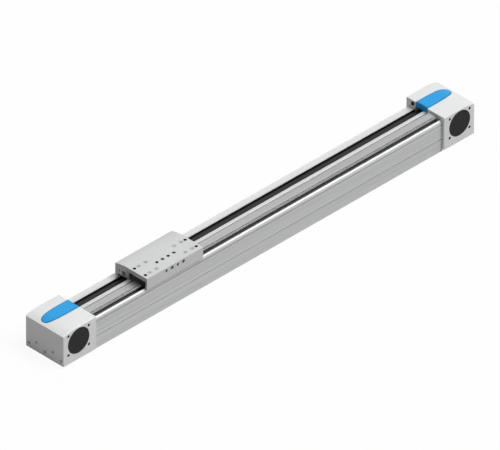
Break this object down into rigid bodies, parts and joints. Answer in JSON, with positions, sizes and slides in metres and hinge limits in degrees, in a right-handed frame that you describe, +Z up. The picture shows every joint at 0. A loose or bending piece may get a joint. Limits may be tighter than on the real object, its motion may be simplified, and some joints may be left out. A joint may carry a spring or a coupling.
{
  "type": "toothed belt linear axis",
  "caption": "Electric linear axis: a beam with a guide rail, a slide driven by a toothed belt, and an end cover with a belt pulley at each end.",
  "frame": {"origin": "middle of the overall box, on the surface that the beam's underside stands on", "axes": "+X along the beam towards the far cover, +Y from the rail side to the belt side, +Z up"},
  "size_m": [0.8824, 0.082, 0.0765],
  "materials": {
    "anodised_aluminium": "clear anodised, fine drawn lines along the beam",
    "cover_aluminium": "bead blasted and clear anodised",
    "slide_aluminium": "milled and clear anodised",
    "clamp_aluminium": "milled",
    "ground_steel": "ground along its length",
    "carriage_steel": "ground",
    "screw_steel": "zinc plated",
    "bearing_steel": "polished",
    "spring_steel": "phosphated",
    "pulley_metal": "turned",
    "blue_plastic": "satin moulded",
    "dark_plastic": "fine grained",
    "black_plastic": "moulded",
    "belt_rubber": "matte with fine lengthwise cords",
    "seal_rubber": "matte",
    "stop_rubber": "matte"
  },
  "bodies": {
    "base": {"profile": "anodised_aluminium", "guide_rail": "ground_steel", "rail_screws": "screw_steel", "rail_cover_strip": "ground_steel", "toothed_belt": "belt_rubber", "near_cover": "cover_aluminium", "near_cap": "blue_plastic", "near_disc_front": "dark_plastic", "near_disc_back": "dark_plastic", "near_bearing_outer_rings": "bearing_steel", "near_circlips": "spring_steel", "near_stop": "stop_rubber", "near_cover_studs": "screw_steel", "far_cover": "cover_aluminium", "far_cap": "blue_plastic", "far_disc_front": "dark_plastic", "far_disc_back": "dark_plastic", "far_bearing_outer_rings": "bearing_steel", "far_circlips": "spring_steel", "far_stop": "stop_rubber", "far_cover_studs": "screw_steel"},
    "slide": {"slide_plate": "slide_aluminium", "near_carriage": "carriage_steel", "far_carriage": "carriage_steel", "carriage_end_caps": "black_plastic", "carriage_seals": "seal_rubber", "carriage_screws": "screw_steel", "belt_clamp_blocks": "clamp_aluminium", "belt_clamp_jaws": "clamp_aluminium", "clamp_screws": "screw_steel", "tension_screws": "screw_steel"},
    "near_wheel": {"near_pulley": "pulley_metal", "near_pulley_flanges": "pulley_metal", "near_bearing_inner_rings": "bearing_steel"},
    "far_wheel": {"far_pulley": "pulley_metal", "far_pulley_flanges": "pulley_metal", "far_bearing_inner_rings": "bearing_steel"}
  },
  "joints": [
    {"name": "slide_travel", "type": "slide", "parent": "base", "child": "slide", "axis": [1, 0, 0], "range_m": [-0.0968, 0.5032]},
    {"name": "near_wheel_turn", "type": "hinge", "parent": "base", "child": "near_wheel", "pos_m": [-0.40885, 0.0115, 0.0378], "axis": [0, 1, 0], "range_deg": [-585, 3025]},
    {"name": "far_wheel_turn", "type": "hinge", "parent": "base", "child": "far_wheel", "pos_m": [0.40885, 0.0115, 0.0378], "axis": [0, 1, 0], "range_deg": [-585, 3025]}
  ],
  "couplings": [
    {"joint": "near_wheel_turn", "follows": "slide_travel", "rad_per_m": 104.72},
    {"joint": "far_wheel_turn", "follows": "slide_travel", "rad_per_m": 104.72}
  ]
}
